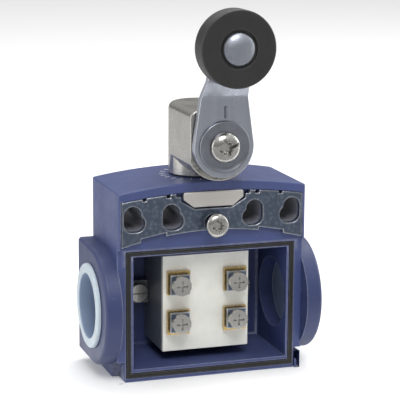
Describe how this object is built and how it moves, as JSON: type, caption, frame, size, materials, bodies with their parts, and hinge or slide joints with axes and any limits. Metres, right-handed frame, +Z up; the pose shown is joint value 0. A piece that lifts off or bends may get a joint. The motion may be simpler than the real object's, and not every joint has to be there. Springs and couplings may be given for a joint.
{
  "type": "limit switch",
  "caption": "Limit switch: plastic housing with a hinged front cover, steel fixing plate, two cable entries and a rotary head carrying a cranked lever with a roller.",
  "frame": {"origin": "middle of the housing's flat underside", "axes": "+Z up through the head and roller, +Y into the fixing face at the rear, cover and roller towards -Y"},
  "size_m": [0.0596, 0.0443, 0.0952],
  "materials": {
    "blue_plastic": "moulded glass-filled polyamide, fine satin texture",
    "pale_plastic": "translucent natural polyethylene",
    "grey_plastic": "moulded, satin",
    "white_plastic": "moulded, satin",
    "black_plastic": "moulded acetal, satin",
    "black_rubber": "moulded rubber, matte",
    "zinc_plated_steel": "blue passivated zinc plate, stamped",
    "bright_steel": "nickel plated, bright",
    "satin_steel": "stainless, satin",
    "cast_zinc": "zinc die casting, nickel finish, satin",
    "spring_steel": "drawn wire",
    "brass": "stamped, satin"
  },
  "bodies": {
    "base": {"housing": "blue_plastic", "cover_gasket": "black_rubber", "fixing_plate": "zinc_plated_steel", "head_lock_bracket": "bright_steel", "cable_entry_plug_left": "pale_plastic", "cable_entry_plug_right": "pale_plastic", "contact_block_case": "grey_plastic", "contact_block_lid": "white_plastic", "carrier_return_spring": "spring_steel", "contact_block_screw_left": "bright_steel", "contact_block_screw_right": "bright_steel", "fixed_contact_no_left": "brass", "terminal_clamp_no_left": "zinc_plated_steel", "terminal_screw_no_left": "bright_steel", "fixed_contact_no_right": "brass", "terminal_clamp_no_right": "zinc_plated_steel", "terminal_screw_no_right": "bright_steel", "fixed_contact_nc_left": "brass", "terminal_clamp_nc_left": "zinc_plated_steel", "terminal_screw_nc_left": "bright_steel", "fixed_contact_nc_right": "brass", "terminal_clamp_nc_right": "zinc_plated_steel", "terminal_screw_nc_right": "bright_steel"},
    "cover": {"front_cover": "blue_plastic", "cover_screw": "bright_steel"},
    "carrier": {"contact_carrier": "white_plastic", "contact_bridge_no": "brass", "contact_bridge_nc": "brass", "bridge_spring_no": "spring_steel", "bridge_spring_nc": "spring_steel"},
    "head": {"head_body": "cast_zinc", "head_seal_ring": "black_rubber", "shaft_bush": "brass", "shaft_seal": "black_rubber", "plunger_return_spring": "spring_steel"},
    "plunger": {"head_plunger": "bright_steel", "plunger_cap": "white_plastic"},
    "shaft": {"lever_shaft": "satin_steel", "shaft_circlip": "spring_steel", "cam": "white_plastic", "drive_disc": "cast_zinc", "lever_clamp_screw": "bright_steel"},
    "lever": {"roller_lever": "satin_steel", "lever_washer": "satin_steel", "roller_rivet": "bright_steel", "roller_spacer": "satin_steel"},
    "roller": {"roller": "black_plastic"}
  },
  "joints": [
    {"name": "cover_open", "type": "hinge", "parent": "base", "child": "cover", "pos_m": [0, -0.0088, -0.001], "axis": [1, 0, 0], "range_deg": [0, 75]},
    {"name": "head_turn", "type": "hinge", "parent": "base", "child": "head", "pos_m": [0, 0.002, 0.06], "axis": [0, 0, 1], "range_deg": [-180, 180]},
    {"name": "lever_swing", "type": "hinge", "parent": "head", "child": "shaft", "pos_m": [0, 0.002, 0.06085], "axis": [0, 1, 0], "range_deg": [-70, 70], "stiffness_Nm_per_rad": 0.05},
    {"name": "lever_setting", "type": "hinge", "parent": "shaft", "child": "lever", "pos_m": [0, -0.0157, 0.06085], "axis": [0, 1, 0], "range_deg": [-180, 180]},
    {"name": "roller_spin", "type": "hinge", "parent": "lever", "child": "roller", "pos_m": [0, -0.0252, 0.0858], "axis": [0, 1, 0], "continuous": true},
    {"name": "plunger_travel", "type": "slide", "parent": "head", "child": "plunger", "axis": [0, 0, -1], "range_m": [0, 0.0018], "stiffness_N_per_m": 2000, "deforming": ["plunger_return_spring"]},
    {"name": "carrier_travel", "type": "slide", "parent": "base", "child": "carrier", "axis": [0, 0, -1], "range_m": [0, 0.0018], "stiffness_N_per_m": 400, "deforming": ["carrier_return_spring"]}
  ],
  "couplings": [
    {"joint": "carrier_travel", "follows": "plunger_travel", "ratio": 1}
  ]
}
